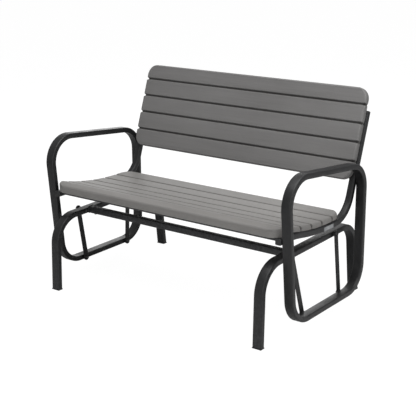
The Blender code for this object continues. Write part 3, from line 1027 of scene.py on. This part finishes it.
# ------------------------------------------------------------------ panels
@dataclass
class BoardedPanel:
    """A moulded panel whose grooves make it look like boards.

    The panel is a skin over (across, along): along runs from one long edge to
    the other, and depth is measured down from the smooth top surface.
    """

    name: str
    length: float
    half_width: float
    corner: float
    grooves: tuple[float, ...]
    surface: Callable[[float, float, float], tuple[float, float, float]]
    thickness: Callable[[float], float]
    edge: float = 0.0085
    groove_half: float = 0.0060
    groove_depth: float = 0.0082
    end_flare: float = 0.0060
    notch: float = 0.0034
    notch_half: float = 0.0085
    board_crown: float = 0.0007
    column_pitch: float = 0.018
    row_pitch: float = 0.0075
    deepest_share: float = 0.72

    def stations(self) -> list[float]:
        """Places along the panel, close together at grooves and edges."""
        marks = {0.0, self.length}
        for middle in self.grooves:
            for step in range(-9, 10):
                marks.add(middle + self.notch_half * step / 9.0)
        for step in range(1, 9):
            inset = self.edge * (1.0 - math.cos(math.pi / 2.0 * step / 8.0))
            marks.update((inset, self.length - inset))
        for step in range(1, 12):
            inset = self.corner * (1.0 - math.cos(math.pi / 2.0 * step / 11.0))
            marks.update((inset, self.length - inset))
        ordered = sorted(marks)
        kept = [ordered[0]]
        for value in ordered[1:]:
            if value - kept[-1] > 0.0002:
                kept.append(value)
        filled: list[float] = []
        for a, b in zip(kept, kept[1:]):
            pieces = max(1, int(math.ceil((b - a) / self.row_pitch)))
            filled += [a + (b - a) * step / pieces for step in range(pieces)]
        return filled + [kept[-1]]

    def shares(self) -> list[float]:
        """Distances in from a side edge, dense where the edge is round."""
        near = [self.edge * (1.0 - math.cos(math.pi / 2.0 * step / 8.0)) for step in range(9)]
        return near + [self.edge + 0.004, self.edge + 0.010, self.edge + 0.020]

    def reach(self, along: float) -> float:
        """Half width at a place along the panel: round corners, notched at the grooves."""
        near = min(along, self.length - along)
        width = self.half_width
        if near < self.corner:
            inner = max(self.corner ** 2 - (self.corner - near) ** 2, 0.0)
            width += math.sqrt(inner) - self.corner
        gap = min(abs(along - middle) for middle in self.grooves)
        if gap < self.notch_half:
            width -= self.notch * (1.0 - gap / self.notch_half) ** 1.4
        return width

    def groove(self, along: float, inset: float) -> float:
        """Depth of the grooves, which open out at the side edges.

        Args:
            along: place along the panel.
            inset: distance in from the nearer side edge.

        Returns:
            How far the surface drops.
        """
        drop = 0.0
        flare = max(0.0, 1.0 - inset / 0.016)
        half = self.groove_half * (1.0 + 0.35 * flare)
        for middle in self.grooves:
            share = abs(along - middle) / half
            if share < 1.0:
                shape = (1.0 - share ** 1.5) ** 1.15
                drop = max(drop, (self.groove_depth + self.end_flare * flare) * shape)
        return drop

    def crown(self, along: float) -> float:
        """Slight fall of each board's surface towards its own edges."""
        edges = [0.0, *sorted(self.grooves), self.length]
        for a, b in zip(edges, edges[1:]):
            if a <= along <= b:
                share = 2.0 * (along - a) / (b - a) - 1.0
                return self.board_crown * share ** 4
        return 0.0

    def round_off(self, along: float, inset: float) -> float:
        """Fall of the surface over the rounded outer edge."""
        near = min(along, self.length - along, self.edge)
        side = min(inset, self.edge)
        reach = math.hypot(self.edge - near, self.edge - side)
        return self.edge - math.sqrt(max(self.edge ** 2 - min(reach, self.edge) ** 2, 0.0))

    def mesh(self) -> bmesh.types.BMesh:
        """Build the closed skin.

        Returns:
            The mesh in the row frame.
        """
        work = bmesh.new()
        depth_mark = work.verts.layers.float.new(GROOVE_MARK)
        inner = self.half_width - self.corner - 0.002
        count = int(inner / self.column_pitch)
        mids = [inner * step / count for step in range(-count, count + 1)]
        tops, lows = [], []
        for along in self.stations():
            reach = self.reach(along)
            shares = [value for value in self.shares() if reach - value > inner + 0.002]
            across = [-reach + value for value in shares] + mids
            across += [reach - value for value in reversed(shares)]
            top, low = [], []
            depth = self.thickness(along)
            for x in across:
                inset = reach - abs(x)
                fall = self.round_off(along, inset)
                cut = self.groove(along, inset)
                sink = min(max(fall, cut) + self.crown(along) * (fall < 1e-9), depth * self.deepest_share)
                if cut > 0.0 and fall > 0.0:
                    sink = min(math.hypot(fall, cut), depth * self.deepest_share)
                top.append(work.verts.new(self.surface(x, along, sink)))
                # depth share, which the boards' material turns into painted groove shade
                top[-1][depth_mark] = min(cut / self.groove_depth, 1.0)
                low.append(work.verts.new(self.surface(x, along, depth)))
            tops.append(top)
            lows.append(low)
        self.bridge(work, tops, False)
        self.bridge(work, lows, True)
        for upper, under in ((tops[0], lows[0]), (tops[-1], lows[-1])):
            for index in range(len(upper) - 1):
                work.faces.new((upper[index], under[index], under[index + 1], upper[index + 1]))
        for column in (0, -1):
            for index in range(len(tops) - 1):
                work.faces.new((tops[index][column], tops[index + 1][column],
                                lows[index + 1][column], lows[index][column]))
        bmesh.ops.remove_doubles(work, verts=work.verts, dist=0.00002)
        return work

    @staticmethod
    def bridge(work: bmesh.types.BMesh, rows: list[list[bmesh.types.BMVert]],
               flip: bool) -> None:
        """Fill the faces between rows that may differ in length by whole pairs.

        Args:
            work: the mesh.
            rows: the rows of vertices.
            flip: whether the faces look the other way.
        """
        for near, far in zip(rows, rows[1:]):
            extra = (len(far) - len(near)) // 2
            longer, shorter = (far, near) if extra > 0 else (near, far)
            spare = abs(extra)
            for index in range(len(longer) - 1):
                a = min(max(index - spare, 0), len(shorter) - 1)
                b = min(max(index + 1 - spare, 0), len(shorter) - 1)
                corners = [longer[index], longer[index + 1], shorter[b]]
                if a != b:
                    corners.append(shorter[a])
                if (longer is far) != flip:
                    corners.reverse()
                work.faces.new(corners)


@dataclass
class SeatPanel:
    """Dished seat of six boards with a deeper front lip."""

    finishes: Finishes
    thick: float = 0.0213
    crest: float = -0.272
    lip: float = 0.4300
    corner: float = 0.058
    dish_place: tuple[float, float] = (0.100, 0.4130)
    dish_curve: float = 0.395
    nose_curve: float = 2.6
    boards: int = 6
    node: str = "seat_panel"

    def height(self, y: float) -> float:
        """Height of the seat's smooth surface."""
        lowest_y, lowest_z = self.dish_place
        dish = lowest_z + self.dish_curve * (max(y, self.crest) - lowest_y) ** 2
        if y < self.crest:
            dish -= self.nose_curve * (self.crest - y) ** 2
        return dish

    def build(self) -> None:
        """Make the panel."""
        low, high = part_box(self.node)
        front, rear = low.y, high.y
        pitch = (rear - front) / self.boards

        def thickness(along: float) -> float:
            """Depth of the panel: even behind, with a flat underside at the lip."""
            return max(self.thick, self.height(front + along) - self.lip)

        def surface(across: float, along: float, depth: float) -> tuple[float, float, float]:
            """World place of a point on or under the seat."""
            y = front + along
            return (across, y, self.height(y) - depth)

        panel = BoardedPanel(self.node, rear - front, high.x, self.corner,
                             tuple(pitch * step for step in range(1, self.boards)),
                             surface, thickness)
        made = dress("seat_boards", panel.mesh(), self.finishes.seat, 34.0)
        place(made, Body.CARRIAGE.value, "seat_plastic", self.node)


@dataclass
class BackPanel:
    """Flat reclined back of five boards."""

    finishes: Finishes
    thick: float = 0.024
    top: tuple[float, float] = (0.3632, 0.8916)
    foot: tuple[float, float] = (0.2228, 0.5300)
    corner: float = 0.050
    groove_shares: tuple[float, ...] = (0.178, 0.382, 0.586, 0.795)
    node: str = "backrest_panel"

    def build(self) -> None:
        """Make the panel."""
        _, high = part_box(self.node)
        foot = Vector(self.foot)
        span = Vector(self.top) - foot
        up = span.normalized()
        away = Vector((up.y, -up.x))

        def surface(across: float, along: float, depth: float) -> tuple[float, float, float]:
            """World place of a point on or behind the back."""
            point = foot + up * along + away * depth
            return (across, point.x, min(point.y, high.z))

        grooves = tuple(span.length * (1.0 - share) for share in reversed(self.groove_shares))
        panel = BoardedPanel(self.node, span.length, high.x, self.corner, grooves,
                             surface, lambda _: self.thick)
        made = dress("back_boards", panel.mesh(), self.finishes.back, 34.0)
        place(made, Body.CARRIAGE.value, "back_plastic", self.node)


# ------------------------------------------------------------------ hangers
@dataclass
class Hangers:
    """Four flat bars with round eyes, leaning outwards towards the foot."""

    finishes: Finishes
    width: float = 0.024
    thick: float = 0.005
    eye: float = 0.0150
    edge: float = 0.0007

    def build(self) -> None:
        """Make the four bars."""
        for end in End:
            for side in Side:
                self.bar(end, side)

    def bar(self, end: End, side: Side) -> None:
        """Make one bar.

        Args:
            end: front or rear.
            side: left or right.
        """
        word = "%s_%s" % (end.value, side.value)
        upper = joint_place("swing_" + word)
        lower = centre_of("lower_bushing_" + word)
        low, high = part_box("hanger_" + word)
        top_x = side.sign * min(abs(low.x), abs(high.x)) + side.sign * self.thick / 2.0
        foot_x = side.sign * max(abs(low.x), abs(high.x)) - side.sign * self.thick / 2.0
        top = Vector((upper.y, upper.z))
        foot = Vector((lower.y, lower.z))
        down = (foot - top).normalized()
        across = Vector((-down.y, down.x))
        length = (foot - top).length
        half = self.width / 2.0
        neck = math.sqrt(self.eye ** 2 - half ** 2)
        rows = self.rows(length, half, neck)
        work = bmesh.new()
        faces = []
        for shift in (-0.5, 0.5):
            grid = []
            for along, reach in rows:
                share = min(max((along - self.eye) / (length - 2.0 * self.eye), 0.0), 1.0)
                x = top_x + (foot_x - top_x) * share + shift * self.thick
                row = []
                for step in range(-2, 3):
                    spot = top + down * along + across * (reach * step / 2.0)
                    row.append(work.verts.new((x, spot.x, spot.y)))
                grid.append(row)
            faces.append(grid)
        for grid, flip in ((faces[0], False), (faces[1], True)):
            for near, far in zip(grid, grid[1:]):
                for index in range(4):
                    quad = (near[index], near[index + 1], far[index + 1], far[index])
                    work.faces.new(tuple(reversed(quad)) if flip else quad)
        inner, outer = faces
        for column in (0, -1):
            for index in range(len(rows) - 1):
                work.faces.new((inner[index][column], inner[index + 1][column],
                                outer[index + 1][column], outer[index][column]))
        for row in (0, -1):
            for index in range(4):
                work.faces.new((inner[row][index], inner[row][index + 1],
                                outer[row][index + 1], outer[row][index]))
        bmesh.ops.remove_doubles(work, verts=work.verts, dist=0.00001)
        made = dress("hanger_bar_" + word, work, self.finishes.hanger_steel, 50.0)
        bevel = made.modifiers.new("rounded_edges", "BEVEL")
        bevel.width = self.edge
        bevel.segments = 2
        bevel.limit_method = "ANGLE"
        bevel.angle_limit = math.radians(50.0)
        place(made, "hanger_" + word, "hanger_steel", "hanger_" + word)

    def rows(self, length: float, half: float, neck: float) -> Ring:
        """Half widths along the bar: an eye, the straight, and the other eye.

        Args:
            length: between the pivots.
            half: of the straight part's width.
            neck: where the eye meets the straight.

        Returns:
            (along, half width) pairs.
        """
        arc = math.acos(-neck / self.eye)
        eye_rows: Ring = []
        for step in range(17):
            angle = arc * step / 16.0
            eye_rows.append((-self.eye * math.cos(angle), self.eye * math.sin(angle)))
        straight = [(neck + (length - 2.0 * neck) * step / 24.0, half) for step in range(1, 24)]
        lower = [(length - along, reach) for along, reach in reversed(eye_rows)]
        return eye_rows + straight + lower


# ------------------------------------------------------------------ fasteners
@dataclass
class Fasteners:
    """Pivot bolts, studs and crossbar bolts, each built to its CAD node's box."""

    finishes: Finishes
    shank: float = 0.0050
    head: float = 0.0085
    nut_height: float = 0.0060
    head_height: float = 0.0052
    upright_shank: float = 0.0030
    upright_dome: float = 0.0030

    def build(self) -> None:
        """Replace every bolt."""
        for end in End:
            for side in Side:
                word = "%s_%s" % (end.value, side.value)
                self.bolt("upper_bolt_" + word, side, True, True, Body.BASE)
                self.bolt("lower_bolt_" + word, side, True, False, Body.CARRIAGE)
                self.bolt("loop_bolt_" + word, side, end is End.REAR, False, Body.CARRIAGE)
                self.upright("crossbar_bolt_" + word)

    def hex_nut(self, height: float, flange: float) -> bmesh.types.BMesh:
        """A flange nut that stands on x = 0 and rises towards -x.

        Args:
            height: of the whole nut.
            flange: radius of its flange.

        Returns:
            The mesh.
        """
        work = turned([(0.0, 0.0), (0.0, flange), (-0.0009, flange), (-0.0015, flange * 0.93),
                       (-0.0015, 0.0)])
        corner = flange * 0.86
        crown = bmesh.new()
        levels = ((-0.0012, 1.0), (-height + 0.0009, 1.0), (-height, 0.90))
        stitch(crown, [[crown.verts.new((x, corner * size * math.cos(math.pi * k / 3.0),
                                         corner * size * math.sin(math.pi * k / 3.0)))
                        for k in range(6)] for x, size in levels], capped=True)
        join_in(work, crown, Matrix.Identity(4))
        return work

    def bolt(self, node: str, side: Side, nut: bool, head: bool, body: Body) -> None:
        """Make one bolt along X.

        Args:
            node: the CAD node that it stands for.
            side: which side it is on.
            nut: whether its inner end has a nut.
            head: whether its outer end has a domed head.
            body: what it rides on.
        """
        low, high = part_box(node)
        middle = (low + high) / 2.0
        near = min(abs(low.x), abs(high.x)) + (self.nut_height if nut else 0.0)
        far = max(abs(low.x), abs(high.x)) - (self.head_height if head else 0.0)
        work = turned([(near - 0.0010, 0.0), (near - 0.0010, self.shank), (far, self.shank),
                       (far, 0.0)])
        if head:
            join_in(work, dome(far, self.head, self.head_height), Matrix.Identity(4))
        if nut:
            join_in(work, self.hex_nut(self.nut_height, self.head),
                    Matrix.Translation((near, 0.0, 0.0)))
        flip = Matrix.Scale(side.sign, 4, (1.0, 0.0, 0.0))
        spot = Matrix.Translation((0.0, middle.y, middle.z))
        bmesh.ops.transform(work, matrix=spot @ flip, verts=work.verts)
        made = dress(node.replace("bolt", "fastener"), work, self.finishes.bolt_steel)
        place(made, body.value, "bolt_steel", node)

    def upright(self, node: str) -> None:
        """Make one vertical bolt through a base crossbar.

        Args:
            node: the CAD node that it stands for.
        """
        low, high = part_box(node)
        middle = (low + high) / 2.0
        floor, roof = low.z + self.nut_height, high.z - self.upright_dome
        radius = (high.x - low.x) / 2.0
        work = turned([(floor - 0.001, 0.0), (floor - 0.001, self.upright_shank),
                       (roof, self.upright_shank), (roof, 0.0)])
        join_in(work, dome(roof, radius, self.upright_dome), Matrix.Identity(4))
        join_in(work, self.hex_nut(self.nut_height, radius), Matrix.Translation((floor, 0.0, 0.0)))
        turn = Matrix.Rotation(-math.pi / 2.0, 4, "Y")
        bmesh.ops.transform(work, matrix=turn, verts=work.verts)
        bmesh.ops.translate(work, vec=(middle.x, middle.y, 0.0), verts=work.verts)
        made = dress(node.replace("bolt", "fastener"), work, self.finishes.bolt_steel)
        place(made, Body.BASE.value, "bolt_steel", node)


@dataclass
class KeptRings:
    """Bushings whose CAD shape is right: they only get a finish."""

    finishes: Finishes

    def build(self) -> None:
        """Dress each ring."""
        for end in End:
            for side in Side:
                word = "%s_%s" % (end.value, side.value)
                self.dress_node("upper_bushing_" + word, self.finishes.nylon)
                self.dress_node("lower_bushing_" + word, self.finishes.nylon)

    def dress_node(self, node: str, material: bpy.types.Material) -> None:
        """Give a CAD node its finish.

        Args:
            node: name of the node.
            material: the finish.
        """
        kept = frame["nodes"][node]
        for slot in kept.material_slots:
            slot.material = material
        LOG.info("%s keeps its shape", node)


# ------------------------------------------------------------------ studio
@dataclass
class Studio:
    """Pale floor, soft light and the camera."""

    azimuth: float = 37.35
    elevation: float = 17.69
    roll: float = -1.3676
    eye: Spot = (2.5730, -3.3447, 1.7148)
    lens: float = 88.65
    floor_tone: float = 0.80
    floor_glow: float = 1.20
    glow_share: float = 0.80
    world_light: float = 0.16
    world_seen: float = 0.85
    world_mirrored: float = 0.35
    lights: tuple[tuple[str, Spot, Spot, float, float], ...] = (
        ("overhead_softbox", (0.7, -0.4, 3.2), (0.0, 0.0, 0.3), 2.6, 88.0),
        ("front_fill", (1.6, -3.6, 1.3), (0.0, 0.0, 0.4), 2.2, 28.0),
        ("side_strip", (3.4, 0.6, 1.5), (0.2, 0.0, 0.4), 1.6, 18.0),
        ("rear_softbox", (-2.6, 3.4, 1.5), (0.0, 0.0, 0.4), 2.2, 29.0))

    def build(self) -> None:
        """Set the stage."""
        bpy.context.scene.view_settings.view_transform = "Standard"
        self.floor()
        self.world()
        for light in self.lights:
            self.area(*light)
        self.camera()

    def floor(self) -> None:
        """A wide pale floor that stays nearly white to the camera."""
        work = bmesh.new()
        bmesh.ops.create_grid(work, x_segments=2, y_segments=2, size=30.0)
        material = bpy.data.materials.new("pale_floor")
        material.use_nodes = True
        tree = material.node_tree
        shader = tree.nodes["Principled BSDF"]
        shader.inputs["Base Color"].default_value = (*[self.floor_tone] * 3, 1.0)
        shader.inputs["Roughness"].default_value = 0.9
        glow = tree.nodes.new("ShaderNodeEmission")
        glow.inputs["Strength"].default_value = self.floor_glow
        path = tree.nodes.new("ShaderNodeLightPath")
        blend = tree.nodes.new("ShaderNodeMixShader")
        share = Effects.math(tree, "MULTIPLY", path.outputs["Is Camera Ray"], self.glow_share)
        tree.links.new(share, blend.inputs[0])
        tree.links.new(shader.outputs["BSDF"], blend.inputs[1])
        tree.links.new(glow.outputs["Emission"], blend.inputs[2])
        tree.links.new(blend.outputs["Shader"], tree.nodes["Material Output"].inputs["Surface"])
        made = dress("studio_floor", work, material)

    def world(self) -> None:
        """White surroundings: dim as a light, bright to the camera."""
        world = bpy.data.worlds.new("studio_white")
        bpy.context.scene.world = world
        world.use_nodes = True
        tree = world.node_tree
        back = tree.nodes["Background"]
        back.inputs["Color"].default_value = (1.0, 1.0, 1.0, 1.0)
        path = tree.nodes.new("ShaderNodeLightPath")
        level = Effects.math(tree, "MULTIPLY_ADD", path.outputs["Is Camera Ray"],
                             self.world_seen)
        level.node.inputs[2].default_value = self.world_light
        mirrored = Effects.math(tree, "MULTIPLY_ADD", path.outputs["Is Glossy Ray"],
                                self.world_mirrored)
        tree.links.new(level, mirrored.node.inputs[2])
        tree.links.new(mirrored, back.inputs["Strength"])

    def area(self, name: str, spot: Spot, aim: Spot, size: float, power: float) -> None:
        """One soft light.

        Args:
            name: its name.
            spot: where it stands.
            aim: what it looks at.
            size: its width.
            power: in watts.
        """
        data = bpy.data.lights.new(name, "AREA")
        data.shape = "SQUARE"
        data.size = size
        data.energy = power
        light = bpy.data.objects.new(name, data)
        light.location = spot
        light.rotation_euler = (Vector(aim) - Vector(spot)).to_track_quat("-Z", "Y").to_euler()
        bpy.context.scene.collection.objects.link(light)

    def camera(self) -> None:
        """The camera at the three-quarter view from the front right."""
        az = math.radians(self.azimuth)
        el = math.radians(self.elevation)
        roll = math.radians(self.roll)
        back = Vector((math.sin(az) * math.cos(el), -math.cos(az) * math.cos(el), math.sin(el)))
        right = Vector((math.cos(az), math.sin(az), 0.0))
        up = back.cross(right)
        tilted = right * math.cos(roll) + up * math.sin(roll)
        upright = up * math.cos(roll) - right * math.sin(roll)
        turn = Matrix((tilted, upright, back)).transposed().to_4x4()
        data = bpy.data.cameras.new("studio_camera")
        data.lens = self.lens
        data.sensor_width = 36.0
        camera = bpy.data.objects.new("studio_camera", data)
        camera.matrix_world = Matrix.Translation(self.eye) @ turn
        bpy.context.scene.collection.objects.link(camera)
        bpy.context.scene.camera = camera


def main() -> None:
    """Build the bench round its frame."""
    logging.basicConfig(level=logging.INFO, format="%(name)s: %(message)s")
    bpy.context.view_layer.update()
    finishes = Finishes(Paintbox(Effects()))
    for part in (SideLoops(finishes), BaseFrames(finishes), SideRails(finishes),
                 Crossbars(finishes), SeatPanel(finishes), BackPanel(finishes),
                 Hangers(finishes), Fasteners(finishes), KeptRings(finishes)):
        LOG.info("building %s", type(part).__name__)
        part.build()
    Studio().build()
    bpy.context.view_layer.update()


if __name__ == "__main__":
    main()
